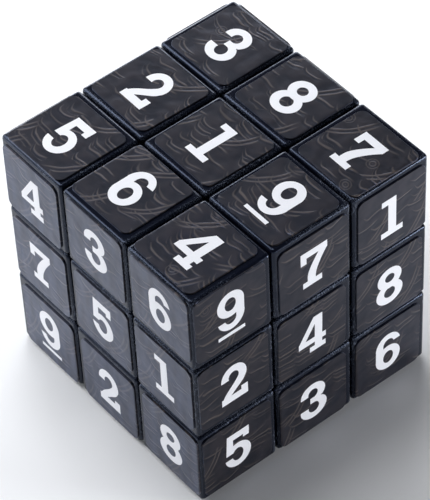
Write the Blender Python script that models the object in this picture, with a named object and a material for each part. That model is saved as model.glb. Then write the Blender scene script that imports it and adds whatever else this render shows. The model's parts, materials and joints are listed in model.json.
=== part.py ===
"""Sudoku cube: a turning puzzle of three layers each way, with a numeral on every small face.

Six centre pieces turn on the arms of a hidden core. Each is held by a screw, a washer and a
spring inside its hub, and closed by a cap. Twelve edge pieces and eight corner pieces are held
only by their feet, which reach under their neighbours. Every meeting face is a plane square to
an axis or a ball about the middle of the cube, so any outer layer turns freely.

Metres, +Z up, front face towards -Y. The origin is the middle of the core, where the six turning
axes cross, and every piece has its own origin there.
"""

import math

import bmesh
import bpy
from mathutils import Matrix, Vector

MM = 0.001

# Whole cube and the running clearances between its pieces
CUBE_SIDE = 57.0 * MM
RUNNING_GAP = 0.36 * MM
BALL_CLEARANCE = 0.42 * MM
SEAT_GAP = 0.3 * MM

# Rounding of the small cubes and of the feet
EDGE_ROUND = 0.8 * MM
EDGE_STEPS = 3
FOOT_ROUND = 0.7 * MM
FOOT_STEPS = 2

# Feet: how far a corner's neck clears the layer planes, how deep a foot is, and how much
# narrower an edge's neck is than its foot
NECK_REACH = 2.6 * MM
FOOT_DEPTH = 5.6 * MM
FOOT_SHOULDER = 0.3 * MM

# Screw, washer and spring on each of the six axes
SCREW_RADIUS = 1.25 * MM
SCREW_HEAD_RADIUS = 2.9 * MM
SCREW_HEAD_HEIGHT = 2.2 * MM
SCREW_HEAD_DOME = 0.5 * MM
SCREW_TIP_HEIGHT = 5.4 * MM
SCREW_CLEARANCE = 0.3 * MM
CROSS_WIDTH = 0.8 * MM
CROSS_LENGTH = 3.2 * MM
CROSS_DEPTH = 1.2 * MM
WASHER_THICKNESS = 0.5 * MM
SPRING_LENGTH = 6.0 * MM
SPRING_TURNS = 3.5
SPRING_WIRE = 0.55 * MM
SPRING_INSET = 0.2 * MM
CURL_POINTS = 8

# Centre piece: bored hub with a floor, closed by a cap with a round plug
BORE_CLEARANCE = 0.6 * MM
HUB_WALL = 1.4 * MM
HUB_FLOOR = 2.0 * MM
HUB_CLEARANCE = 0.3 * MM
CAP_THICKNESS = 2.2 * MM
CAP_SEAM = 0.3 * MM
PLUG_LEDGE = 1.2 * MM
PLUG_LENGTH = 1.6 * MM
PLUG_CHAMFER = 0.4 * MM
HEAD_CLEARANCE = 0.8 * MM

# Core: chamfered block with six tapered arms
CORE_BLOCK = 11.2 * MM
CORE_CHAMFER = 1.0 * MM
ARM_ROOT_RADIUS = 4.2 * MM
ARM_TIP_RADIUS = 3.3 * MM
ARM_TIP_CHAMFER = 0.3 * MM

ROUND_SEGMENTS = 16
SMALL_SEGMENTS = 12
FINE_BALL = 4
COARSE_BALL = 3

# Derived planes and balls
HALF = CUBE_SIDE / 2
LAYER_PLANE = CUBE_SIDE / 6
PIECE_LOW = LAYER_PLANE + RUNNING_GAP / 2
PIECE_HALF = LAYER_PLANE - RUNNING_GAP / 2
BORE_RADIUS = SCREW_HEAD_RADIUS + BORE_CLEARANCE
HUB_RADIUS = BORE_RADIUS + HUB_WALL
FOOT_LOW = HUB_RADIUS + HUB_CLEARANCE + RUNNING_GAP
FOOT_HALF = FOOT_LOW - RUNNING_GAP
NECK_HALF = FOOT_HALF - FOOT_SHOULDER
FOOT_OUTER = math.sqrt(3) * (LAYER_PLANE + NECK_REACH)
FOOT_INNER = FOOT_OUTER - FOOT_DEPTH
UNDERCUT = FOOT_OUTER + BALL_CLEARANCE

# Derived heights of the stack along each axis, from the face inwards
CAP_UNDERSIDE = HALF - CAP_THICKNESS
BLOCK_TOP = CAP_UNDERSIDE - CAP_SEAM
PLUG_BOTTOM = CAP_UNDERSIDE - PLUG_LENGTH
PLUG_RADIUS = BORE_RADIUS + PLUG_LEDGE
HEAD_TOP = PLUG_BOTTOM - HEAD_CLEARANCE
HEAD_UNDERSIDE = HEAD_TOP - SCREW_HEAD_HEIGHT
WASHER_TOP = HEAD_UNDERSIDE - SEAT_GAP
SPRING_TOP = WASHER_TOP - WASHER_THICKNESS - SEAT_GAP
SPRING_BOTTOM = SPRING_TOP - SPRING_LENGTH
FLOOR_TOP = SPRING_BOTTOM - SEAT_GAP
FLOOR_BOTTOM = FLOOR_TOP - HUB_FLOOR
ARM_TIP = FLOOR_BOTTOM - SEAT_GAP
SPRING_RADIUS = SCREW_HEAD_RADIUS - SPRING_INSET - SPRING_WIRE / 2
HOLE_RADIUS = SCREW_RADIUS + SCREW_CLEARANCE

FACES = {
    "up": Vector((0, 0, 1)),
    "down": Vector((0, 0, -1)),
    "right": Vector((1, 0, 0)),
    "left": Vector((-1, 0, 0)),
    "front": Vector((0, -1, 0)),
    "back": Vector((0, 1, 0)),
}

# Each edge piece with the centre that carries it, and each corner piece with the edge that carries
# it. Every centre carries two edges, and no edge carries more than one corner
EDGES = {
    ("up", "right"): "up",
    ("up", "left"): "up",
    ("up", "front"): "front",
    ("up", "back"): "back",
    ("down", "right"): "down",
    ("down", "left"): "down",
    ("down", "front"): "front",
    ("down", "back"): "back",
    ("front", "right"): "right",
    ("back", "right"): "right",
    ("front", "left"): "left",
    ("back", "left"): "left",
}
CORNERS = {
    ("up", "right", "front"): ("up", "right"),
    ("up", "right", "back"): ("back", "right"),
    ("up", "left", "front"): ("front", "left"),
    ("up", "left", "back"): ("up", "back"),
    ("down", "right", "front"): ("front", "right"),
    ("down", "right", "back"): ("down", "right"),
    ("down", "left", "front"): ("down", "front"),
    ("down", "left", "back"): ("back", "left"),
}


def clear_scene():
    for obj in list(bpy.data.objects):
        bpy.data.objects.remove(obj, do_unlink=True)


def mesh_from(bm, name):
    """A mesh from bm with its faces turned outwards."""
    bmesh.ops.recalc_face_normals(bm, faces=bm.faces[:])
    mesh = bpy.data.meshes.new(name)
    bm.to_mesh(mesh)
    bm.free()
    return mesh


def box(low, high, radius=0.0, steps=1, rounded=lambda a, b: True):
    """A box between two corners, with the edges that rounded(a, b) picks bevelled."""
    bm = bmesh.new()
    low = Vector(low)
    high = Vector(high)
    place = Matrix.Translation((low + high) / 2) @ Matrix.Diagonal((high - low).to_4d())
    bmesh.ops.create_cube(bm, size=1, matrix=place)
    if radius > 0:
        edges = [e for e in bm.edges if rounded(e.verts[0].co, e.verts[1].co)]
        bmesh.ops.bevel(
            bm,
            geom=edges,
            offset=radius,
            offset_type="OFFSET",
            segments=steps,
            profile=0.5,
            affect="EDGES",
        )
    return mesh_from(bm, "box")


def ball(radius, subdivisions):
    bm = bmesh.new()
    bmesh.ops.create_icosphere(bm, subdivisions=subdivisions, radius=radius)
    return mesh_from(bm, "ball")


def turned(profile, segments):
    """A closed body turned about Z from (radius, height) points, either a ring or pole to pole."""
    bm = bmesh.new()
    verts = [bm.verts.new((r, 0, z)) for r, z in profile]
    edges = [bm.edges.new(pair) for pair in zip(verts, verts[1:])]
    if profile[0][0] > 0:
        edges.append(bm.edges.new((verts[-1], verts[0])))
    bmesh.ops.spin(
        bm,
        geom=verts + edges,
        cent=(0, 0, 0),
        axis=(0, 0, 1),
        angle=2 * math.pi,
        steps=segments,
        use_merge=True,
    )
    bmesh.ops.remove_doubles(bm, verts=bm.verts[:], dist=1e-6)
    return mesh_from(bm, "turned")


def rod(radius, low, high, segments):
    return turned([(0, low), (radius, low), (radius, high), (0, high)], segments)


def turned_to(mesh, matrix):
    """A copy of the mesh moved by the matrix."""
    copy = mesh.copy()
    copy.transform(matrix)
    return copy


def combine(base, tool, operation):
    """The base mesh after one Boolean operation with the tool mesh."""
    pair = [bpy.data.objects.new(mesh.name, mesh) for mesh in (base, tool)]
    for obj in pair:
        bpy.context.scene.collection.objects.link(obj)
    modifier = pair[0].modifiers.new("combine", "BOOLEAN")
    modifier.operation = operation
    modifier.solver = "EXACT"
    modifier.object = pair[1]
    graph = bpy.context.evaluated_depsgraph_get()
    result = bpy.data.meshes.new_from_object(pair[0].evaluated_get(graph))
    for obj in pair:
        bpy.data.objects.remove(obj, do_unlink=True)
    return result


def corner_mesh():
    """The corner at +X +Y +Z: a rounded small cube on a three-sided ball foot."""
    cube = box([PIECE_LOW] * 3, [HALF] * 3, EDGE_ROUND, EDGE_STEPS)
    foot = box([FOOT_LOW] * 3, [HALF] * 3, FOOT_ROUND, FOOT_STEPS, between_low_planes)
    foot = combine(foot, ball(FOOT_OUTER, FINE_BALL), "INTERSECT")
    piece = combine(cube, foot, "UNION")
    return combine(piece, ball(FOOT_INNER, COARSE_BALL), "DIFFERENCE")


def between_low_planes(a, b):
    """True for the box edges where two of the planes nearest the middle meet."""
    shared = [i for i in range(3) if abs(a[i] - b[i]) < FOOT_ROUND / 2]
    return all(abs(a[i]) < FOOT_LOW + FOOT_ROUND / 2 for i in shared)


def edge_mesh():
    """The edge at +X +Z: a rounded small cube, undercut at both ends over the corners' feet."""
    low = (PIECE_LOW, -PIECE_HALF, PIECE_LOW)
    high = (HALF, PIECE_HALF, HALF)
    piece = box(low, high, EDGE_ROUND, EDGE_STEPS)
    for side in (1, -1):
        near = side * NECK_HALF
        far = side * CUBE_SIDE
        slab = box((0, min(near, far), 0), (CUBE_SIDE, max(near, far), CUBE_SIDE))
        slab = combine(slab, ball(UNDERCUT, FINE_BALL), "INTERSECT")
        piece = combine(piece, slab, "DIFFERENCE")
    low = (FOOT_LOW, -FOOT_HALF, FOOT_LOW)
    high = (HALF, FOOT_HALF, HALF)
    foot = box(low, high, FOOT_ROUND, FOOT_STEPS, between_low_planes)
    foot = combine(foot, ball(FOOT_OUTER, FINE_BALL), "INTERSECT")
    piece = combine(piece, foot, "UNION")
    return combine(piece, ball(FOOT_INNER, COARSE_BALL), "DIFFERENCE")


def centre_mesh():
    """The centre on +Z: a square block hollowed below by the ball, on a bored hub with a floor."""
    low = (-PIECE_HALF, -PIECE_HALF, PIECE_LOW)
    high = (PIECE_HALF, PIECE_HALF, BLOCK_TOP)
    block = box(low, high, EDGE_ROUND, EDGE_STEPS, lambda a, b: abs(a.z - b.z) > EDGE_ROUND)
    block = combine(block, ball(UNDERCUT, FINE_BALL), "DIFFERENCE")
    hub = rod(HUB_RADIUS, FLOOR_BOTTOM, UNDERCUT + HUB_FLOOR, ROUND_SEGMENTS)
    piece = combine(block, hub, "UNION")
    room = PLUG_RADIUS + SEAT_GAP
    bore = turned(
        [
            (0, FLOOR_TOP),
            (BORE_RADIUS, FLOOR_TOP),
            (BORE_RADIUS, PLUG_BOTTOM - SEAT_GAP),
            (room, PLUG_BOTTOM - SEAT_GAP),
            (room, BLOCK_TOP + CAP_SEAM),
            (0, BLOCK_TOP + CAP_SEAM),
        ],
        ROUND_SEGMENTS,
    )
    piece = combine(piece, bore, "DIFFERENCE")
    hole = rod(HOLE_RADIUS, FLOOR_BOTTOM - HUB_FLOOR, FLOOR_TOP + HUB_FLOOR, SMALL_SEGMENTS)
    return combine(piece, hole, "DIFFERENCE")


def cap_mesh():
    """The cap on +Z: a rounded face plate with a round plug that seats in the centre's bore."""
    low = (-PIECE_HALF, -PIECE_HALF, CAP_UNDERSIDE)
    high = (PIECE_HALF, PIECE_HALF, HALF)
    plate = box(
        low,
        high,
        EDGE_ROUND,
        EDGE_STEPS,
        lambda a, b: max(a.z, b.z) > HALF - EDGE_ROUND,
    )
    plug = turned(
        [
            (0, PLUG_BOTTOM),
            (PLUG_RADIUS - PLUG_CHAMFER, PLUG_BOTTOM),
            (PLUG_RADIUS, PLUG_BOTTOM + PLUG_CHAMFER),
            (PLUG_RADIUS, CAP_UNDERSIDE + CAP_THICKNESS / 2),
            (0, CAP_UNDERSIDE + CAP_THICKNESS / 2),
        ],
        ROUND_SEGMENTS,
    )
    return combine(plate, plug, "UNION")


def screw_mesh():
    """A pan-head screw on +Z with a cross recess and a short pointed tip."""
    body = turned(
        [
            (0, SCREW_TIP_HEIGHT),
            (SCREW_RADIUS / 2, SCREW_TIP_HEIGHT),
            (SCREW_RADIUS, SCREW_TIP_HEIGHT + SCREW_RADIUS / 2),
            (SCREW_RADIUS, HEAD_UNDERSIDE),
            (SCREW_HEAD_RADIUS, HEAD_UNDERSIDE),
            (SCREW_HEAD_RADIUS, HEAD_TOP - SCREW_HEAD_DOME),
            (SCREW_HEAD_RADIUS - SCREW_HEAD_DOME, HEAD_TOP),
            (0, HEAD_TOP),
        ],
        SMALL_SEGMENTS,
    )
    for across in (Vector((CROSS_LENGTH, CROSS_WIDTH)), Vector((CROSS_WIDTH, CROSS_LENGTH))):
        low = (-across.x / 2, -across.y / 2, HEAD_TOP - CROSS_DEPTH)
        high = (across.x / 2, across.y / 2, HEAD_TOP + CROSS_DEPTH)
        body = combine(body, box(low, high), "DIFFERENCE")
    return body


def washer_mesh():
    low = WASHER_TOP - WASHER_THICKNESS
    ring = [
        (HOLE_RADIUS, low),
        (SCREW_HEAD_RADIUS, low),
        (SCREW_HEAD_RADIUS, WASHER_TOP),
        (HOLE_RADIUS, WASHER_TOP),
    ]
    return turned(ring, SMALL_SEGMENTS)


def spring_curve():
    """The spring on +Z: an even helix of round wire, from the hub's floor to the washer."""
    low = SPRING_BOTTOM + SPRING_WIRE / 2
    rise = SPRING_LENGTH - SPRING_WIRE
    count = round(SPRING_TURNS * CURL_POINTS) + 1
    points = []
    for i in range(count):
        part = i / (count - 1)
        angle = 2 * math.pi * SPRING_TURNS * part
        x = math.cos(angle) * SPRING_RADIUS
        y = math.sin(angle) * SPRING_RADIUS
        points.append((x, y, low + rise * part))
    curve = bpy.data.curves.new("spring", "CURVE")
    curve.dimensions = "3D"
    curve.bevel_depth = SPRING_WIRE / 2
    curve.bevel_resolution = 1
    curve.use_fill_caps = True
    spline = curve.splines.new("POLY")
    spline.points.add(count - 1)
    for point, place in zip(spline.points, points):
        point.co = (*place, 1)
    spline.use_smooth = True
    print(f"spring: least gap between curls {least_gap(points) / MM:.2f} mm")
    return curve


def least_gap(points):
    """The least distance between points half a curl or more apart along the wire, less the wire."""
    half_curl = CURL_POINTS // 2
    places = [Vector(p) for p in points]
    return min(
        (places[i] - places[k]).length - SPRING_WIRE
        for i in range(len(places))
        for k in range(i + half_curl, len(places))
    )


def core_mesh():
    """The core: a chamfered block with six tapered arms, each with a blind screw hole."""
    half = CORE_BLOCK / 2
    core = box([-half] * 3, [half] * 3, CORE_CHAMFER)
    upper = [
        (ARM_ROOT_RADIUS, half),
        (ARM_TIP_RADIUS, (half + ARM_TIP) / 2),
        (ARM_TIP_RADIUS, ARM_TIP - ARM_TIP_CHAMFER),
        (ARM_TIP_RADIUS - ARM_TIP_CHAMFER, ARM_TIP),
        (0, ARM_TIP),
    ]
    arm = turned([(0, half / 2), (ARM_ROOT_RADIUS, half / 2)] + upper, ROUND_SEGMENTS)
    hole = rod(HOLE_RADIUS, SCREW_TIP_HEIGHT - SCREW_CLEARANCE, ARM_TIP + SCREW_RADIUS, SMALL_SEGMENTS)
    for name in FACES:
        core = combine(core, turned_to(arm, facing(name)), "UNION")
    for name in FACES:
        core = combine(core, turned_to(hole, facing(name)), "DIFFERENCE")
    return core


def frame(x, y, z):
    """The rotation that takes the X, Y and Z axes to the three given directions."""
    return Matrix((x, y, z)).transposed().to_4x4()


def facing(face):
    """The rotation that takes +Z to the outward direction of a face."""
    out = FACES[face]
    side = FACES["right"] if abs(out.x) < 0.5 else FACES["up"]
    return frame(side, out.cross(side), out)


def edge_frame(names):
    first, second = (FACES[name] for name in names)
    return frame(first, second.cross(first), second)


def corner_frame(names):
    first, second, third = (FACES[name] for name in names)
    if first.cross(second).dot(third) < 0:
        first, second = second, first
    return frame(first, second, third)


def finish(name, colour, roughness, metallic):
    material = bpy.data.materials.new(name)
    material.use_nodes = True
    shader = material.node_tree.nodes["Principled BSDF"]
    shader.inputs["Base Color"].default_value = (*colour, 1)
    shader.inputs["Roughness"].default_value = roughness
    shader.inputs["Metallic"].default_value = metallic
    return material


def smooth(mesh, angle):
    mesh.shade_smooth()
    mesh.set_sharp_from_angle(angle=math.radians(angle))
    return mesh


def coat(data, material):
    data.materials.clear()
    data.materials.append(material)
    return data


def place(name, data, matrix, carrier=None):
    """An object with its origin at the middle of the cube, carried by another object."""
    obj = bpy.data.objects.new(name, data)
    bpy.context.scene.collection.objects.link(obj)
    world = matrix
    if carrier:
        obj.parent = carrier
        matrix = PLACES[carrier.name].inverted() @ matrix
    obj.matrix_basis = matrix
    PLACES[name] = world
    return obj


PLACES = {}


def build():
    clear_scene()
    core_plastic = finish("core_plastic", (0.018, 0.018, 0.020), 0.45, 0)
    centre_plastic = finish("centre_plastic", (0.006, 0.006, 0.009), 0.32, 0)
    cap_plastic = finish("cap_plastic", (0.006, 0.006, 0.009), 0.28, 0)
    edge_plastic = finish("edge_plastic", (0.006, 0.006, 0.009), 0.30, 0)
    corner_plastic = finish("corner_plastic", (0.006, 0.006, 0.009), 0.30, 0)
    screw_steel = finish("screw_steel", (0.62, 0.63, 0.65), 0.28, 1)
    washer_steel = finish("washer_steel", (0.55, 0.56, 0.58), 0.35, 1)
    spring_steel = finish("spring_steel", (0.42, 0.42, 0.43), 0.30, 1)

    core = place("core", coat(smooth(core_mesh(), 30), core_plastic), Matrix.Identity(4))
    centre = coat(smooth(centre_mesh(), 35), centre_plastic)
    cap = coat(smooth(cap_mesh(), 35), cap_plastic)
    screw = coat(smooth(screw_mesh(), 35), screw_steel)
    washer = coat(smooth(washer_mesh(), 35), washer_steel)
    spring = coat(spring_curve(), spring_steel)
    edge = coat(smooth(edge_mesh(), 35), edge_plastic)
    corner = coat(smooth(corner_mesh(), 35), corner_plastic)

    centres = {}
    for face in FACES:
        turn = facing(face)
        centres[face] = place(f"centre_{face}", centre, turn, core)
        place(f"centre_cap_{face}", cap, turn, centres[face])
        place(f"screw_{face}", screw, turn, core)
        place(f"washer_{face}", washer, turn, core)
        place(f"spring_{face}", spring, turn, core)
    edges = {}
    for names, carrier in EDGES.items():
        name = "edge_" + "_".join(names)
        edges[names] = place(name, edge, edge_frame(names), centres[carrier])
    for names, carrier in CORNERS.items():
        place("corner_" + "_".join(names), corner, corner_frame(names), edges[carrier])


build()
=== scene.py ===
"""Looks of the sudoku cube: smooth cubies, printed film labels with numerals, and springs, on the frame."""

import json
import math

import bpy
import bmesh
import numpy as np
from mathutils import Matrix, Vector
from mathutils.geometry import delaunay_2d_cdt


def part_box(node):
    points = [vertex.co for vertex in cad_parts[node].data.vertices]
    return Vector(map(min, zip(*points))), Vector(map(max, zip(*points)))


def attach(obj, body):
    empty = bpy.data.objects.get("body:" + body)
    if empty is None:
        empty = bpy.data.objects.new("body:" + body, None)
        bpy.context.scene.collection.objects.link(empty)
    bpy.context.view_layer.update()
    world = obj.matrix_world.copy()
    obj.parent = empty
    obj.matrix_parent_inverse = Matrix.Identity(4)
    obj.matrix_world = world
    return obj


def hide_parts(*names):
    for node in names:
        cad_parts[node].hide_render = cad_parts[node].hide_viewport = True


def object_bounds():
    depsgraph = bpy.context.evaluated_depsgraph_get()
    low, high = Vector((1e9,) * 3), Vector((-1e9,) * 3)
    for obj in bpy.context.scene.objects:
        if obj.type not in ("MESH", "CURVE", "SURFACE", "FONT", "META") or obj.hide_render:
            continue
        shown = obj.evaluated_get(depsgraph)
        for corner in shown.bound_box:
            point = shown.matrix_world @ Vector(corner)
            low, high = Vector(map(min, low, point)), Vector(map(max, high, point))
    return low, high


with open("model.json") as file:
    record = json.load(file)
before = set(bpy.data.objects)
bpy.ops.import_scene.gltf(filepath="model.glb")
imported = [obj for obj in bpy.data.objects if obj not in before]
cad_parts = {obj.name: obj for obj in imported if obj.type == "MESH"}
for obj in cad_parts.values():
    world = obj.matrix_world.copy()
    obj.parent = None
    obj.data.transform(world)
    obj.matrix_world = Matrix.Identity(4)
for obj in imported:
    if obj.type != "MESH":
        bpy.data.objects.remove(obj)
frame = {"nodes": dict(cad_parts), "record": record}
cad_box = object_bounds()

MM = 0.001

# The cube: half a side, the pitch of its cubies, the running gap and the rounding of a cubie's edges
HALF = cad_box[1].x
PITCH = 2 * HALF / 3
RUNNING_GAP = 0.36 * MM
EDGE_ROUND = 0.8 * MM
FLAT_HALF = PITCH / 2 - RUNNING_GAP / 2 - EDGE_ROUND

# Labels: die-cut vinyl with screen-printed numerals. Their tops are the cube's outer faces
FILM = 0.30 * MM
INK = 0.02 * MM
SUNK = 0.01 * MM
LABEL_HALF = 8.25 * MM
LABEL_RADIUS = 1.5 * MM
CUT_BEVEL = 0.05 * MM
ARC_POINTS = 9

# Springs: the turns and the wire that the part is made with, and how finely they are drawn
SPRING_TURNS = 3.5
SPRING_WIRE = 0.55 * MM
STEPS_A_TURN = 36
WIRE_SIDES = 14

# Labels are laid by hand: how far right and up of its place each one sits, row by row, in tenths of a
# millimetre. On the other faces they are laid at random, this far off and this many degrees askew at most
TENTH = 0.1
LAID_REACH = 5
LAID_ASKEW = 0.7
LAYING_SEED = 9
LAID = {
    "up": ((5, 0), (6, 1), (6, -5), (1, 1), (1, 2), (2, -4), (-1, -5), (-6, 5), (-6, 0)),
    "front": ((-3, -6), (3, 5), (3, 6), (2, -5), (5, 2), (0, 3), (6, -6), (6, -4), (6, 4)),
    "right": ((-5, 6), (1, -6), (0, -6), (-4, 6), (-6, -3), (-4, -6), (-3, 2), (-6, -4), (-6, -4)),
}

# Each face: its outward, rightward and upward directions, and its numerals row by row, read from outside
FACES = {
    "up": ((0, 0, 1), (1, 0, 0), (0, 1, 0), (387, 219, 564)),
    "front": ((0, -1, 0), (1, 0, 0), (0, 0, 1), (436, 751, 928)),
    "right": ((1, 0, 0), (0, 1, 0), (0, 0, 1), (971, 248, 536)),
    "back": ((0, 1, 0), (-1, 0, 0), (0, 0, 1), (825, 693, 147)),
    "left": ((-1, 0, 0), (0, -1, 0), (0, 0, 1), (582, 914, 673)),
    "down": ((0, 0, -1), (1, 0, 0), (0, -1, 0), (165, 483, 729)),
}
# The side that each axis leads to, by its number and its sign
SIDE = {(0, 1): "right", (0, -1): "left", (1, 1): "back", (1, -1): "front", (2, 1): "up", (2, -1): "down"}

# Grain of the film, in millimetres on the printed sheet. Each label is cut from a place of its own on it
SHEET_SPAN = (20.0, 320.0)
SWAY = 2.4
STROKES_PER_MM = (0.165, 0.45, 1.0)
STROKE_LEAN = (-0.04, 0.14)
STROKE_BEND = 0.03
STROKE_FULL, STROKE_GONE = 1.3, 3.1
HOOK_START, HOOK_RISE = 1.1, 0.55
EMPTY_SHARE = 0.28
TWIN_SHARE, TWIN_BELOW = 0.5, 1.0
SHADE_BELOW = 0.5
BOW_CELL = 13
BOW_SWAY = (0.3, 0.3, 0.3)
BOW_CENTRE = (8.0, -6.0, 0.0)
BOW_ALONG = (0.6, 0.8, 0.0)
BOW_FULL, BOW_GONE = 3.2, 6.2
BOW_SPACING = 1.0
KNOT_SPACING = 0.6
KNOT_SHARE = 0.25

# Settings that many nodes share
SOFT = {"interpolation_type": "SMOOTHSTEP"}
COLOUR = {"data_type": "RGBA"}
FLAT_NOISE = {"noise_dimensions": "2D"}
FLAT_CELLS = {"voronoi_dimensions": "2D"}


def linear(code):
    """sRGB hex to a linear RGBA colour: c/12.92 below 0.04045, else ((c + 0.055)/1.055)^2.4."""
    c = np.array([int(code[i:i + 2], 16) / 255 for i in (1, 3, 5)])
    c = np.where(c <= 0.04045, c / 12.92, ((c + 0.055) / 1.055) ** 2.4)
    return (*c.tolist(), 1.0)


def add(tree, kind, links=None, out=0, **settings):
    """Adds a node, sets it up, fills its inputs with values or links, and returns one of its outputs."""
    made = tree.nodes.new("ShaderNode" + kind)
    for key, value in settings.items():
        setattr(made, key, value)
    for key, value in (links or {}).items():
        if isinstance(value, bpy.types.NodeSocket):
            tree.links.new(value, made.inputs[key])
        else:
            made.inputs[key].default_value = value
    return made.outputs[out] if made.outputs else made


def finished(name, tree_of_looks):
    """A new material whose Principled shader takes the inputs that the looks function returns."""
    material = bpy.data.materials.new(name)
    material.use_nodes = True
    tree = material.node_tree
    tree.nodes.clear()
    surface = add(tree, "BsdfPrincipled", tree_of_looks(tree))
    add(tree, "OutputMaterial", {"Surface": surface})
    return material


def moulded_abs(base, scuff, roughness, wear):
    """ABS, injection moulded in a polished tool: blue-black and glossy with a faint orange peel, and on a
    cubie's edges the pale dull scratches and specks that turning and handling leave."""
    def looks(t):
        here = add(t, "TexCoord", out="Object")
        # Orange peel about 1 mm across, and tool grit drawn at 0.25 mm so that it shows
        peel = add(t, "TexNoise", {"Vector": here, "Scale": 1 / (1.0 * MM), "Detail": 1.0})
        grit = add(t, "TexNoise", {"Vector": here, "Scale": 1 / (0.25 * MM), "Detail": 2.0})
        # Nearness to a cubie's edge: the middle one of the three distances from the cubie's centre planes
        ends = {1: (PITCH / 2,) * 3, 2: (-PITCH / 2,) * 3}
        cell = add(t, "VectorMath", {0: here, **ends}, operation="WRAP")
        off = add(t, "VectorMath", {0: cell}, operation="ABSOLUTE")
        x, y, z = add(t, "SeparateXYZ", {0: off}).node.outputs
        low = add(t, "Math", {0: x, 1: y}, operation="MINIMUM")
        high = add(t, "Math", {0: x, 1: y}, operation="MAXIMUM")
        rest = add(t, "Math", {0: high, 1: z}, operation="MINIMUM")
        middle = add(t, "Math", {0: low, 1: rest}, operation="MAXIMUM")
        rim = {"From Min": LABEL_HALF - 0.1 * MM, "From Max": LABEL_HALF + 0.5 * MM}
        edge = add(t, "MapRange", {"Value": middle, **rim}, **SOFT)
        # Scratches drawn 0.14 mm wide and 1.2 mm long, slanting across the edges, and specks among them
        slant = add(t, "Mapping", {"Vector": here, "Rotation": (0.7, 0.6, 0.4),
                                   "Scale": (1 / (0.14 * MM), 1 / (0.14 * MM), 1 / (1.2 * MM))})
        scratch = add(t, "TexNoise", {"Vector": slant, "Scale": 1.0, "Detail": 1.0})
        scratch = add(t, "MapRange", {"Value": scratch, "From Min": 0.56, "From Max": 0.70})
        speck = add(t, "TexNoise", {"Vector": here, "Scale": 1 / (0.5 * MM), "Detail": 3.0,
                                    "Roughness": 0.7})
        speck = add(t, "MapRange", {"Value": speck, "From Min": 0.58, "From Max": 0.70})
        # Some stretches of edge are handled more than others, over about 12 mm
        patch = add(t, "TexNoise", {"Vector": here, "Scale": 1 / (12 * MM), "Detail": 1.0})
        patch = add(t, "MapRange", {"Value": patch, "From Min": 0.38, "From Max": 0.62, "To Max": wear})
        marks = add(t, "Math", {0: scratch, 1: speck}, operation="MAXIMUM")
        marks = add(t, "Math", {0: marks, 1: patch}, operation="MULTIPLY")
        worn = add(t, "Math", {0: marks, 1: edge}, operation="MULTIPLY")
        bump = add(t, "Bump", {"Height": peel, "Strength": 0.10, "Distance": 0.06 * MM})
        fine = {"Height": grit, "Strength": 0.05, "Distance": 0.03 * MM}
        return {
            "Base Color": add(t, "Mix", {"Factor": worn, 6: linear(base), 7: linear(scuff)}, 2, **COLOUR),
            "Roughness": add(t, "MapRange", {"Value": worn, "To Min": roughness, "To Max": 0.6}),
            "Normal": add(t, "Bump", {**fine, "Normal": bump}),
            "IOR": 1.53,
            "Specular IOR Level": 0.3,
            "Specular Tint": linear("#c4d8ff"),
        }
    return looks


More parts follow.
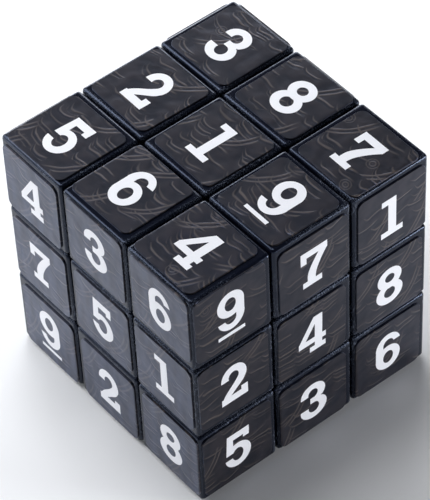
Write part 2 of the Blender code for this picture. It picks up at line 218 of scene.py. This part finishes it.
def printed_vinyl(t):
    """PVC film, printed and lightly embossed with a tooled-leather grain, and laminated: brown-black with
    pale hooked strokes, sheaves of bows and a few rings, each stroke with a dark side, under a satin face
    whose colour is painted paler and cooler at a slant, a painted sheen."""
    # The label map is in millimetres on the printed sheet, and the grain sways by about 1 mm over 7 mm
    sheet = add(t, "UVMap", uv_map="label")
    sway = add(t, "TexNoise", {"Vector": sheet, "Scale": 0.15, "Detail": 1.0}, "Color", **FLAT_NOISE)
    sway = add(t, "VectorMath", {0: sway, 1: (0.5, 0.5, 0.5)}, operation="SUBTRACT")
    sway = add(t, "VectorMath", {0: sway, "Scale": SWAY}, operation="SCALE")
    swayed = add(t, "VectorMath", {0: sheet, 1: sway}, operation="ADD")
    # Strokes: one in most cells of about 6 by 2.2 mm, a shallow curve of random lean through the cell's
    # seed that hooks up at its left end
    cells = add(t, "VectorMath", {0: swayed, 1: STROKES_PER_MM}, operation="MULTIPLY")
    seed = add(t, "TexVoronoi", {"Vector": cells, "Scale": 1.0, "Randomness": 0.8}, "Position",
               **FLAT_CELLS)
    chance, lean, force = add(t, "SeparateXYZ", {0: seed.node.outputs["Color"]}).node.outputs
    near = add(t, "VectorMath", {0: cells, 1: seed}, operation="SUBTRACT")
    near = add(t, "VectorMath", {0: near, 1: STROKES_PER_MM}, operation="DIVIDE")
    along, across, _ = add(t, "SeparateXYZ", {0: near}).node.outputs
    paired = add(t, "Math", {0: lean, 1: TWIN_SHARE}, operation="LESS_THAN")
    lean = add(t, "MapRange", {"Value": lean, "To Min": STROKE_LEAN[0], "To Max": STROKE_LEAN[1]})
    bend = add(t, "Math", {0: along, 1: STROKE_BEND, 2: lean}, operation="MULTIPLY_ADD")
    bend = add(t, "Math", {0: along, 1: bend}, operation="MULTIPLY")
    hook = add(t, "Math", {0: -HOOK_START, 1: along}, operation="SUBTRACT")
    hook = add(t, "Math", {0: hook, 1: 0.0}, operation="MAXIMUM")
    hook = add(t, "Math", {0: hook, 1: 2.0}, operation="POWER")
    bend = add(t, "Math", {0: hook, 1: HOOK_RISE, 2: bend}, operation="MULTIPLY_ADD")
    away = add(t, "Math", {0: across, 1: bend}, operation="SUBTRACT")
    reach = add(t, "Math", {0: along}, operation="ABSOLUTE")
    reach = add(t, "MapRange", {"Value": reach, "From Min": STROKE_GONE, "From Max": STROKE_FULL}, **SOFT)
    chance = add(t, "Math", {0: chance, 1: EMPTY_SHARE}, operation="GREATER_THAN")
    drawn = add(t, "Math", {0: reach, 1: chance}, operation="MULTIPLY")
    force = add(t, "MapRange", {"Value": force, "To Min": 0.45, "To Max": 1.0})
    drawn = add(t, "Math", {0: drawn, 1: force}, operation="MULTIPLY")
    # The lit side of each stroke, a fainter twin 1 mm below half of them, and the shade between
    lit = add(t, "Math", {0: away}, operation="ABSOLUTE")
    lit = add(t, "MapRange", {"Value": lit, "From Min": 0.29, "From Max": 0.05}, **SOFT)
    lit = add(t, "Math", {0: lit, 1: drawn}, operation="MULTIPLY")
    twin = add(t, "Math", {0: away, 1: TWIN_BELOW}, operation="ADD")
    twin = add(t, "Math", {0: twin}, operation="ABSOLUTE")
    twin = add(t, "MapRange", {"Value": twin, "From Min": 0.26, "From Max": 0.05, "To Max": 0.7}, **SOFT)
    twin = add(t, "Math", {0: twin, 1: drawn}, operation="MULTIPLY")
    twin = add(t, "Math", {0: twin, 1: paired}, operation="MULTIPLY")
    lit = add(t, "Math", {0: lit, 1: twin}, operation="MAXIMUM")
    shade = add(t, "Math", {0: away, 1: SHADE_BELOW}, operation="ADD")
    shade = add(t, "Math", {0: shade}, operation="ABSOLUTE")
    shade = add(t, "MapRange", {"Value": shade, "From Min": 0.45, "From Max": 0.10}, **SOFT)
    shade = add(t, "Math", {0: shade, 1: drawn}, operation="MULTIPLY")
    # Bows: in each wide cell a sheaf of arcs 1 mm apart, about a point 10 mm up and left of its seed, and a
    # knot of rings at some of the seeds
    steady = add(t, "VectorMath", {0: sway, 1: BOW_SWAY, 2: sheet}, operation="MULTIPLY_ADD")
    hub = add(t, "TexVoronoi", {"Vector": steady, "Scale": 1 / BOW_CELL, "Randomness": 0.7}, "Position",
              **FLAT_CELLS)
    spoke = add(t, "VectorMath", {0: steady, 1: hub}, operation="SUBTRACT")
    ring = add(t, "VectorMath", {0: spoke}, "Value", operation="LENGTH")
    swing = add(t, "VectorMath", {0: spoke, 1: BOW_CENTRE}, operation="ADD")
    swing = add(t, "VectorMath", {0: swing}, "Value", operation="LENGTH")
    run = add(t, "VectorMath", {0: spoke, 1: BOW_ALONG}, "Value", operation="DOT_PRODUCT")
    run = add(t, "Math", {0: run}, operation="ABSOLUTE")
    run = add(t, "MapRange", {"Value": run, "From Min": BOW_GONE, "From Max": BOW_FULL}, **SOFT)
    inner = add(t, "MapRange", {"Value": swing, "From Min": 12.3, "From Max": 12.7})
    outer = add(t, "MapRange", {"Value": swing, "From Min": 14.7, "From Max": 14.3})
    run = add(t, "Math", {0: run, 1: inner}, operation="MULTIPLY")
    run = add(t, "Math", {0: run, 1: outer}, operation="MULTIPLY")
    bow = add(t, "Math", {0: swing, 1: BOW_SPACING / 2}, operation="PINGPONG")
    bow = add(t, "MapRange", {"Value": bow, "From Min": 0.31, "From Max": 0.05, "To Max": 0.8}, **SOFT)
    bow = add(t, "Math", {0: bow, 1: run}, operation="MULTIPLY")
    knot = add(t, "Math", {0: ring, 1: KNOT_SPACING / 2}, operation="PINGPONG")
    knot = add(t, "MapRange", {"Value": knot, "From Min": 0.18, "From Max": 0.05}, **SOFT)
    heart = add(t, "MapRange", {"Value": ring, "From Min": 1.6, "From Max": 1.1, "To Max": 0.55})
    rare, _, _ = add(t, "SeparateXYZ", {0: hub.node.outputs["Color"]}).node.outputs
    rare = add(t, "Math", {0: rare, 1: KNOT_SHARE}, operation="LESS_THAN")
    heart = add(t, "Math", {0: heart, 1: rare}, operation="MULTIPLY")
    knot = add(t, "Math", {0: knot, 1: heart}, operation="MULTIPLY")
    bow = add(t, "Math", {0: bow, 1: knot}, operation="MAXIMUM")
    lit = add(t, "Math", {0: lit, 1: bow}, operation="MAXIMUM")
    pale = add(t, "Math", {0: lit, 1: 0.42}, operation="MULTIPLY")
    # Ground: soft clouds of brown over 3.5 mm, and a fine slanting tooth 0.3 mm apart
    cloud = add(t, "TexNoise", {"Vector": sheet, "Scale": 0.28, "Detail": 1.0}, **FLAT_NOISE)
    tooth = add(t, "Mapping", {"Vector": sheet, "Rotation": (0.0, 0.0, -0.85), "Scale": (0.5, 3.2, 1.0)})
    tooth = add(t, "TexNoise", {"Vector": tooth, "Scale": 1.0, "Detail": 2.0}, **FLAT_NOISE)
    cloud = add(t, "MapRange", {"Value": cloud, "From Min": 0.3, "From Max": 0.7})
    ground = add(t, "Mix", {"Factor": cloud, 6: linear("#0d0b0b"), 7: linear("#231e1d")}, 2, **COLOUR)
    ground = add(t, "Mix", {"Factor": shade, 6: ground, 7: linear("#090809")}, 2, **COLOUR)
    grain = add(t, "Mix", {"Factor": pale, 6: ground, 7: linear("#766a60")}, 2, **COLOUR)
    # Relief: the face swells by hundredths of a millimetre with the clouds, and each stroke is a low ridge
    # with a groove below
    swell = add(t, "Bump", {"Height": cloud, "Strength": 1.0, "Distance": 0.045 * MM})
    height = add(t, "Math", {0: shade, 1: -0.6, 2: lit}, operation="MULTIPLY_ADD")
    ridge = add(t, "Bump", {"Height": height, "Strength": 1.0, "Distance": 0.024 * MM, "Normal": swell})
    # Painted sheen: the colour turns pale and cool at a slant, unevenly where fingers have smeared it
    slant = add(t, "LayerWeight", {"Blend": 0.5}, "Facing")
    slant = add(t, "MapRange", {"Value": slant, "From Min": 0.46, "From Max": 0.80}, **SOFT)
    sheen_smear = add(t, "Mapping", {"Vector": sheet, "Rotation": (0.0, 0.0, 0.9), "Scale": (0.45, 0.12, 1.0)})
    sheen_smear = add(t, "TexNoise", {"Vector": sheen_smear, "Scale": 1.0, "Detail": 4.0}, **FLAT_NOISE)
    sheen_smear = add(t, "MapRange", {"Value": sheen_smear, "From Min": 0.3, "From Max": 0.7,
                                "To Min": 0.20, "To Max": 0.44})
    slant = add(t, "Math", {0: slant, 1: sheen_smear}, operation="MULTIPLY")
    rough = add(t, "MapRange", {"Value": tooth, "From Min": 0.3, "From Max": 0.7,
                                "To Min": 0.29, "To Max": 0.34})
    fine = {"Height": tooth, "Strength": 0.04, "Distance": 0.02 * MM}
    return {
        # Base colour: the grain, with the painted sheen of the laminate mixed in at a slant
        "Base Color": add(t, "Mix", {"Factor": slant, 6: grain, 7: linear("#7887aa")}, 2, **COLOUR),
        "Roughness": rough,
        "Normal": add(t, "Bump", {**fine, "Normal": ridge}),
        "IOR": 1.52,
        "Specular Tint": linear("#c4d2ff"),
    }


def screen_ink(t):
    """White screen-printing ink: opaque and slightly cool, with a faint grain of the mesh."""
    sheet = add(t, "UVMap", uv_map="label")
    grain = add(t, "TexNoise", {"Vector": sheet, "Scale": 4.0, "Detail": 2.0}, **FLAT_NOISE)
    tones = {6: linear("#ecedf3"), 7: linear("#f6f6fa")}
    return {
        "Base Color": add(t, "Mix", {"Factor": grain, **tones}, 2, **COLOUR),
        "Roughness": 0.38,
        "IOR": 1.48,
    }


def bright_steel(base, roughness):
    """Steel wire or plate under thin zinc: grey and softly bright, with a slight mottle."""
    def looks(t):
        here = add(t, "TexCoord", out="Object")
        mottle = add(t, "TexNoise", {"Vector": here, "Scale": 1 / (0.6 * MM), "Detail": 3.0})
        dull = {"To Min": roughness - 0.06, "To Max": roughness + 0.1}
        return {
            "Base Color": linear(base),
            "Metallic": 1.0,
            "Roughness": add(t, "MapRange", {"Value": mottle, **dull}),
        }
    return looks


def put(name, verts, faces, materials, slots=None):
    """Makes an object from whole arrays: verts (n, 3), faces a list of index arrays, one material slot a
    face."""
    mesh = bpy.data.meshes.new(name)
    corners = [face for block in faces for face in np.asarray(block).tolist()]
    mesh.from_pydata(np.asarray(verts).tolist(), [], corners)
    for material in materials:
        mesh.materials.append(material)
    if slots is not None:
        mesh.polygons.foreach_set("material_index", np.asarray(slots, np.int32))
    piece = bpy.data.objects.new(name, mesh)
    bpy.context.scene.collection.objects.link(piece)
    return piece


def smooth(piece, degrees):
    """Shades a piece smooth, with edges sharper than this angle kept sharp and flats kept flat."""
    mesh = piece.data
    mesh.polygons.foreach_set("use_smooth", np.ones(len(mesh.polygons), bool))
    mesh.set_sharp_from_angle(angle=math.radians(degrees))
    weighted = piece.modifiers.new("flats", "WEIGHTED_NORMAL")
    weighted.keep_sharp = True
    weighted.weight = 100


def moulding(node, material, drawn_in=0.0):
    """A merged, smooth copy of a CAD node. Every point within a rounding of an outer face is drawn in by
    the label's thickness, so that the label's top is the CAD face."""
    mesh = frame["nodes"][node].data.copy()
    mesh.name = node + "_moulding"
    shell = bmesh.new()
    shell.from_mesh(mesh)
    bmesh.ops.remove_doubles(shell, verts=shell.verts, dist=1e-6)
    shell.to_mesh(mesh)
    shell.free()
    place = np.empty(len(mesh.vertices) * 3)
    mesh.vertices.foreach_get("co", place)
    outer = np.abs(place) > HALF - EDGE_ROUND - 0.1 * MM
    place -= np.where(outer, np.sign(place) * drawn_in, 0.0)
    mesh.vertices.foreach_set("co", place)
    mesh.materials.clear()
    mesh.materials.append(material)
    mesh.polygons.foreach_set("material_index", np.zeros(len(mesh.polygons), np.int32))
    piece = bpy.data.objects.new(mesh.name, mesh)
    bpy.context.scene.collection.objects.link(piece)
    smooth(piece, 40)
    return piece


def arc(cx, cy, rx, ry, start, end, count=26):
    """Points of an ellipse: centre + (rx cos t, ry sin t), t from start to end in degrees."""
    t = np.radians(np.linspace(start, end, count))
    return np.stack([cx + rx * np.cos(t), cy + ry * np.sin(t)], 1)


def sweep(knots, count=26):
    """A smooth curve through knots: on each span the cubic whose end slopes are half the chord of its
    neighbours."""
    k = np.array(knots, float)
    k = np.vstack([2 * k[0] - k[1], k, 2 * k[-1] - k[-2]])
    t = np.linspace(0, len(knots) - 1, count)
    i = np.minimum(t.astype(int), len(knots) - 2)
    s = (t - i)[:, None]
    a, b, c, d = k[i], k[i + 1], k[i + 2], k[i + 3]
    return b + 0.5 * s * (c - a + s * (2 * a - 5 * b + 4 * c - d + s * (3 * (b - c) + d - a)))


def band(outer, inner):
    """A stroke as a ruled surface: points outer(t) + s (inner(t) - outer(t)), s 0 or 1, one quad a step."""
    n = len(outer)
    i = np.arange(n - 1)
    return np.vstack([outer, inner]), np.stack([i, i + 1, i + 1 + n, i + n], 1)


def bar(x0, y0, x1, y1):
    """An upright rectangle, as a stroke of one quad."""
    return band(np.array([(x0, y0), (x0, y1)], float), np.array([(x1, y0), (x1, y1)], float))


SIX = [
    band(arc(-0.02, -1.7, 3.1, 3.2, 0, 360, 49), arc(0.05, -1.7, 1.28, 1.66, 0, 360, 49)),
    band(arc(0.0, 1.4, 3.14, 3.5, 180, 15), arc(0.09, 1.95, 1.31, 1.45, 180, 12)),
    bar(-3.1, -1.7, -1.22, 1.95),
]
# Bold slab numerals about 9.7 mm high, in millimetres from the middle of the label
NUMERALS = {
    1: [bar(-0.92, -4.85, 1.02, 4.85), bar(-2.52, 3.45, 0.0, 4.85), bar(-2.66, -4.85, 2.66, -3.45)],
    2: [band(arc(-0.1, 1.7, 3.0, 3.2, 185, -18), arc(-0.15, 1.85, 1.2, 1.35, 199, -36)),
        band(sweep([(2.75, 0.71), (2.0, -0.6), (0.57, -1.85), (-0.8, -3.05)]),
             sweep([(0.82, 1.06), (-0.2, -0.2), (-1.9, -1.9), (-2.8, -3.3), (-3.13, -4.9)])),
        bar(-3.13, -4.9, 3.04, -3.15), bar(1.5, -4.9, 3.04, -2.15)],
    3: [band(arc(-0.1, 2.2, 3.04, 2.72, 189, -42), arc(-0.1, 2.1, 1.19, 1.25, 195, -90)),
        band(arc(0.0, -2.05, 3.27, 2.88, 172, 410), arc(0.05, -2.0, 1.31, 1.38, 167, 450)),
        bar(-0.8, -0.64, 1.9, 0.9)],
    4: [bar(0.58, -4.68, 2.4, 4.68), bar(-3.33, -2.37, 3.28, -0.95), bar(-0.64, -4.68, 3.22, -3.35),
        band(np.array([(0.25, 4.68), (-3.33, -1.05)]), np.array([(1.86, 4.68), (-1.76, -1.05)]))],
    5: [bar(-2.55, 3.2, 2.75, 4.9), bar(1.3, 2.4, 2.7, 4.9),
        band(np.array([(-2.55, 4.9), (-2.9, -0.6)]), np.array([(-1.15, 4.9), (-1.15, -0.6)])),
        band(arc(-0.05, -1.6, 3.12, 3.28, 113, -174), arc(-0.1, -1.55, 1.32, 1.75, 146, -166))],
    6: SIX,
    7: [bar(-3.17, 3.06, 3.17, 4.68), bar(-3.17, 1.63, -1.8, 4.68), bar(-2.73, -4.68, 1.8, -3.26),
        band(sweep([(3.17, 3.15), (2.15, 1.73), (1.12, -0.1), (0.44, -1.83), (0.25, -3.45)]),
             sweep([(1.17, 3.15), (0.05, 1.63), (-0.98, -0.1), (-1.56, -1.73), (-1.6, -3.45)]))],
    8: [band(arc(0, 2.1, 3.0, 2.75, 0, 360, 49), arc(0.05, 2.15, 1.18, 1.1, 0, 360, 49)),
        band(arc(0, -1.95, 3.3, 2.9, 0, 360, 49), arc(0, -1.85, 1.38, 1.35, 0, 360, 49))],
    9: [(-verts + (0.0, 0.9), quads) for verts, quads in SIX] + [bar(-3.1, -5.6, 3.1, -4.75)],
}


def numeral(strokes):
    """One flat outline from overlapping strokes: all are cut into triangles together, the triangles inside
    any stroke are kept, and the edges that only one of them has are the outline. Returns points in metres,
    triangles and directed outline edges."""
    verts, faces, start = [], [], 0
    for points, quads in strokes:
        a, b, c = (points[quads[:, i]] for i in range(3))
        turn = (b - a)[:, 0] * (c - a)[:, 1] - (b - a)[:, 1] * (c - a)[:, 0]
        quads = np.where(turn[:, None] < 0, quads[:, ::-1], quads)
        verts.append(points * MM)
        faces.extend((quads + start).tolist())
        start += len(points)
    points = [Vector(p) for p in np.vstack(verts).tolist()]
    points, _, made, _, _, inside = delaunay_2d_cdt(points, [], faces, 0, 1e-8)
    flat = np.array([tuple(p) for p in points])
    tris = np.array([t for t, own in zip(made, inside) if own])
    a, b, c = flat[tris[:, 0]], flat[tris[:, 1]], flat[tris[:, 2]]
    turn = (b - a)[:, 0] * (c - a)[:, 1] - (b - a)[:, 1] * (c - a)[:, 0]
    tris[turn < 0] = tris[turn < 0][:, ::-1]
    edges = np.vstack([tris[:, [0, 1]], tris[:, [1, 2]], tris[:, [2, 0]]])
    code = np.sort(edges, 1) @ np.array([len(flat), 1])
    _, first, times = np.unique(code, return_index=True, return_counts=True)
    return flat, tris, edges[first[times == 1]]


def film_sheet():
    """A die-cut film: rings of a rounded square, inset by d, p = corner + (radius - d) (cos t, sin t), then
    rings shrunk to the middle. Returns flat points, depths below the top, the upper skin's quads, the fan
    that closes its middle, and the outer ring's indices."""
    t = np.linspace(0, np.pi / 2, ARC_POINTS)
    quarter = np.stack([np.cos(t), np.sin(t)], 1)
    turns = np.array([(1, 0, 0, 1), (0, -1, 1, 0), (-1, 0, 0, -1), (0, 1, -1, 0)], float).reshape(4, 2, 2)
    way = np.einsum("kij,nj->kni", turns, quarter).reshape(-1, 2)
    corner = np.einsum("kij,j->ki", turns, np.ones(2)) * (LABEL_HALF - LABEL_RADIUS)
    corner = np.repeat(corner, ARC_POINTS, 0)
    insets = np.array([0.0, CUT_BEVEL, 0.25 * MM, 0.55 * MM, 0.9 * MM, 1.3 * MM])
    rings = corner + way * (LABEL_RADIUS - insets)[:, None, None]
    shrunk = np.array([0.6, 0.25])
    rings = np.concatenate([rings, rings[-1] * shrunk[:, None, None]])
    below = np.zeros(rings.shape[:2])
    below[0] = CUT_BEVEL
    n, m = rings.shape[1], len(rings)
    i, j = np.meshgrid(np.arange(m - 1), np.arange(n), indexing="ij")
    k = (j + 1) % n
    quads = np.stack([i * n + j, i * n + k, (i + 1) * n + k, (i + 1) * n + j], -1).reshape(-1, 4)
    flat = np.vstack([rings.reshape(-1, 2), np.zeros((1, 2))])
    depth = np.append(below.ravel(), 0.0)
    last = (m - 1) * n + np.arange(n)
    fan = np.stack([last, np.roll(last, -1), np.full(n, m * n)], 1)
    return flat, depth, quads, fan, np.arange(n)


def on_cubie(points, turn, shift):
    """Where a label's points lie on a cubie's face, and how far the face has dropped there: nothing on the
    flat, and r - sqrt(r^2 - over^2) on the rounding, over being the distance past the flat."""
    c, s = math.cos(turn), math.sin(turn)
    laid = points @ np.array([(c, s), (-s, c)]) + shift
    over = np.maximum(np.abs(laid) - FLAT_HALF, 0.0)
    drop = EDGE_ROUND - np.sqrt(np.maximum(EDGE_ROUND ** 2 - (over ** 2).sum(1), 0.0))
    return laid, drop


def label(digit, turn, shift):
    """One label on the face z = 0 of a cubie: closed film with its numeral on top. Returns points, faces, a
    material slot a face, and each point's place on the film for the print."""
    flat, depth, quads, fan, rim = film_sheet()
    laid, drop = on_cubie(flat, turn, shift)
    n = len(flat)
    top = np.column_stack([laid, -INK - depth - drop])
    under = np.column_stack([laid, np.full(n, -INK - FILM - SUNK) - drop])
    wall = np.stack([rim, rim + n, np.roll(rim, -1) + n, np.roll(rim, -1)], 1)
    faces = [quads, fan, wall, quads[:, ::-1] + n, fan[:, ::-1] + n]
    slots = [0] * (len(wall) + 2 * len(quads) + 2 * len(fan))
    ink, tris, outline = numeral(NUMERALS[digit])
    spot, fall = on_cubie(ink, turn, shift)
    m = len(ink)
    upper = np.column_stack([spot, -fall])
    lower = np.column_stack([spot, -fall - INK - SUNK])
    a, b = outline.T
    sides = np.stack([a, a + m, b + m, b], 1)
    base = 2 * n
    faces += [tris + base, sides + base, tris[:, ::-1] + base + m]
    slots += [1] * (2 * len(tris) + len(sides))
    return np.vstack([top, under, upper, lower]), faces, slots, np.vstack([flat, flat, ink, ink])


def coil(node, material):
    """A compression spring in its CAD node's box: a round wire carried along a helix. With c the wire's
    middle, p = c + wire/2 (cos v n + sin v b), where n points away from the axis and b is square to the
    wire and n; each end closes on a point at the wire's middle."""
    low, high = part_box(node)
    span = np.array(high) - np.array(low)
    axis = int(np.argmax(span))
    first, second = (axis + 1) % 3, (axis + 2) % 3
    middle = (np.array(high) + np.array(low)) / 2
    radius = (span[first] - SPRING_WIRE) / 2
    t = np.linspace(0, 2 * np.pi * SPRING_TURNS, round(SPRING_TURNS * STEPS_A_TURN) + 1)
    v = np.linspace(0, 2 * np.pi, WIRE_SIDES, endpoint=False)
    pitch = (span[axis] - SPRING_WIRE) / t[-1]
    outward = np.stack([np.cos(t), np.sin(t), np.zeros_like(t)], 1)
    run = np.stack([-radius * np.sin(t), radius * np.cos(t), np.full_like(t, pitch)], 1)
    run /= np.linalg.norm(run, axis=1, keepdims=True)
    square = np.cross(run, outward)
    wire = radius * outward + np.outer(pitch * (t - t[-1] / 2), (0, 0, 1))
    skin = wire[:, None] + SPRING_WIRE / 2 * (np.cos(v)[:, None] * outward[:, None]
                                              + np.sin(v)[:, None] * square[:, None])
    n, m = skin.shape[:2]
    flat = np.vstack([skin.reshape(-1, 3), wire[[0, -1]]])
    i, j = np.meshgrid(np.arange(n - 1), np.arange(m), indexing="ij")
    k = (j + 1) % m
    quads = np.stack([i * m + j, i * m + k, (i + 1) * m + k, (i + 1) * m + j], -1).reshape(-1, 4)
    ring = np.arange(m)
    caps = [np.stack([ring, np.full(m, n * m), np.roll(ring, -1)], 1),
            np.stack([ring + (n - 1) * m, np.roll(ring, -1) + (n - 1) * m, np.full(m, n * m + 1)], 1)]
    verts = np.empty_like(flat)
    verts[:, [first, second, axis]] = flat + middle[[first, second, axis]]
    piece = put(node + "_wire", verts, [quads[:, ::-1], *(c[:, ::-1] for c in caps)], [material])
    smooth(piece, 50)
    return piece


abs_gloss = finished("moulded_black_abs", moulded_abs("#0a0d19", "#7c8494", 0.20, 0.6))
abs_hub = finished("moulded_abs_hub", moulded_abs("#0b0c11", "#3c4049", 0.34, 0.2))
abs_core = finished("moulded_abs_core", moulded_abs("#141416", "#3c4049", 0.42, 0.0))
zinc = finished("zinc_plated_steel", bright_steel("#c4c6c9", 0.30))
stamped = finished("stamped_zinc_steel", bright_steel("#b4b6ba", 0.36))
drawn_wire = finished("drawn_spring_steel", bright_steel("#9a9b9e", 0.26))
film_material = finished("printed_vinyl_film", printed_vinyl)
ink_material = finished("white_screen_ink", screen_ink)

bodies = frame["record"]["behaviour"]["bodies"]
body_of = {node: body for body, nodes in bodies.items() for node in nodes}
cubies = {}
for node in sorted(frame["nodes"]):
    kind = node.split("_")[0]
    if kind in ("corner", "edge") or node.startswith("centre_cap"):
        piece = moulding(node, abs_gloss, FILM + INK)
        cubies[frozenset(node.replace("centre_cap", "centre").split("_")[1:])] = node
    elif kind == "centre":
        piece = moulding(node, abs_hub)
    elif kind == "core":
        piece = moulding(node, abs_core)
    elif kind == "spring":
        piece = coil(node, drawn_wire)
    else:
        piece = moulding(node, zinc if kind == "screw" else stamped)
    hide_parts(node)
    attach(piece, body_of[node])

rng = np.random.default_rng(LAYING_SEED)
films = {}
for face, (out, right, up, rows) in FACES.items():
    out, right, up = (np.array(v, float) for v in (out, right, up))
    for row in range(3):
        for column in range(3):
            turn = math.radians(rng.uniform(-LAID_ASKEW, LAID_ASKEW))
            shift = rng.integers(-LAID_REACH, LAID_REACH + 1, 2)
            if face in LAID:
                shift = np.array(LAID[face][3 * row + column])
            shift = shift * TENTH * MM
            verts, faces, slots, printed = label(int(str(rows[row])[column]), turn, shift)
            printed = printed / MM + rng.uniform(*SHEET_SPAN, 2)
            cell = out + right * (column - 1) + up * (1 - row)
            middle = out * HALF + (right * (column - 1) + up * (1 - row)) * PITCH
            placed = middle + verts[:, :1] * right + verts[:, 1:2] * up + verts[:, 2:] * out
            key = frozenset(SIDE[a, int(c)] for a, c in enumerate(np.rint(cell)) if c)
            films.setdefault(key, []).append((placed, faces, slots, printed))
for key, parts in films.items():
    starts = np.cumsum([0] + [len(p[0]) for p in parts])
    faces = [block + start for (_, blocks, _, _), start in zip(parts, starts) for block in blocks]
    name = "labels_" + cubies[key].replace("centre_cap", "centre")
    piece = put(name, np.vstack([p[0] for p in parts]), faces, [film_material, ink_material],
                np.concatenate([p[2] for p in parts]))
    printed = np.vstack([p[3] for p in parts])
    loops = np.empty(len(piece.data.loops), np.int32)
    piece.data.loops.foreach_get("vertex_index", loops)
    uv = piece.data.uv_layers.new(name="label")
    uv.data.foreach_set("uv", printed[loops].ravel())
    smooth(piece, 30)
    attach(piece, body_of[cubies[key]])

# Stage: a pale floor, dim surroundings that are white at the horizon, and soft boxes. Lengths in metres
FLOOR_REACH = 8.0
FLOOR_GAP = 0.02 * MM
LIT_REACH, WHITE_REACH = 0.13, 0.40
# The surroundings, by height on a dome of radius 1: the glow falls off from low to high
LOW_SKY, HIGH_SKY = 0.15, 0.55
LOW_GLOW, HIGH_GLOW = 0.22, 0.05
WHITE_SKY = 0.08
SKY_COLOUR = (0.97, 0.98, 1.0, 1.0)
# Each soft box: its place, its side and its power in watts. All face the middle of the cube
LAMP_COLOUR = (0.95, 0.97, 1.0)
SOFT_BOXES = {
    "left_box": ((-0.34, -0.15, 0.32), 0.30, 1.93),
    "top_box": ((-0.12, 0.05, 0.54), 0.15, 0.92),
    "back_left_box": ((-0.31, 0.21, 0.09), 0.26, 1.20),
    "back_right_box": ((0.31, 0.23, 0.02), 0.08, 1.08),
    "front_left_box": ((-0.30, -0.26, 0.04), 0.15, 0.62),
}


def seen_directly(t):
    """1 for rays from the camera, and for those that a gloss or a clear surface sends on, else 0."""
    path = add(t, "LightPath").node.outputs
    seen = add(t, "Math", {0: path["Is Camera Ray"], 1: path["Is Glossy Ray"]}, operation="MAXIMUM")
    return add(t, "Math", {0: seen, 1: path["Is Transmission Ray"]}, operation="MAXIMUM")


def pale_floor(t):
    """Matt white paint on a board: lit by the lamps near the cube, and plain white from 0.4 m outwards."""
    here = add(t, "TexCoord", out="Object")
    off = add(t, "VectorMath", {0: here}, "Value", operation="LENGTH")
    far = add(t, "MapRange", {"Value": off, "From Min": LIT_REACH, "From Max": WHITE_REACH}, **SOFT)
    return {
        "Base Color": linear("#f4f4f5"),
        "Roughness": 0.9,
        "Specular IOR Level": 0.1,
        "Emission Color": (1.0, 1.0, 1.0, 1.0),
        "Emission Strength": add(t, "Math", {0: far, 1: seen_directly(t)}, operation="MULTIPLY"),
    }


def soft_box(name, place, size, power):
    """A square lamp that faces the middle of the cube."""
    light = bpy.data.lights.new(name, "AREA")
    light.shape = "SQUARE"
    light.size = size
    light.energy = power
    light.color = LAMP_COLOUR
    holder = bpy.data.objects.new(name, light)
    holder.location = place
    holder.rotation_euler = (-Vector(place)).to_track_quat("-Z", "Y").to_euler()
    bpy.context.scene.collection.objects.link(holder)


corners = np.array([(-1, -1, 0), (1, -1, 0), (1, 1, 0), (-1, 1, 0)]) * FLOOR_REACH
paint = finished("matt_white_floor", pale_floor)
floor = put("floor", corners + (0, 0, -HALF - FLOOR_GAP), [[(0, 1, 2, 3)]], [paint])

# The surroundings light the cube dimly, and where they are seen at the horizon they are white
world = bpy.data.worlds.new("studio")
bpy.context.scene.world = world
world.use_nodes = True
tree = world.node_tree
tree.nodes.clear()
way = add(tree, "TexCoord", out="Generated")
rise = add(tree, "SeparateXYZ", {0: way}, 2)
sky = add(tree, "MapRange", {"Value": rise, "From Min": LOW_SKY, "From Max": HIGH_SKY,
                             "To Min": LOW_GLOW, "To Max": HIGH_GLOW}, **SOFT)
horizon = add(tree, "MapRange", {"Value": rise, "From Min": LOW_SKY, "From Max": WHITE_SKY}, **SOFT)
horizon = add(tree, "Math", {0: horizon, 1: seen_directly(tree)}, operation="MULTIPLY")
sky = add(tree, "Math", {0: sky, 1: horizon}, operation="MAXIMUM")
sky = add(tree, "Background", {"Color": SKY_COLOUR, "Strength": sky})
add(tree, "OutputWorld", {"Surface": sky})

for name, (place, size, power) in SOFT_BOXES.items():
    soft_box(name, place, size, power)

# Camera: a long lens, 0.56 m off, above the front right edge
CAMERA = Vector((0.30259, -0.22908, 0.40921))
FORWARD = Vector((-0.54243, 0.40917, -0.73373))
UPWARD = Vector((-0.55338, 0.48311, 0.67851))
SENSOR_MM = 36.0
LENS_MM = 209.3
camera = bpy.data.objects.new("camera", bpy.data.cameras.new("camera"))
camera.data.sensor_width = SENSOR_MM
camera.data.lens = LENS_MM
camera.data.clip_start = 0.01
camera.data.clip_end = 50.0
side = FORWARD.cross(UPWARD).normalized()
camera.matrix_world = Matrix((side, side.cross(FORWARD), -FORWARD)).transposed().to_4x4()
camera.matrix_world.translation = CAMERA
bpy.context.scene.collection.objects.link(camera)
bpy.context.scene.camera = camera

bpy.context.scene.view_settings.view_transform = "Standard"
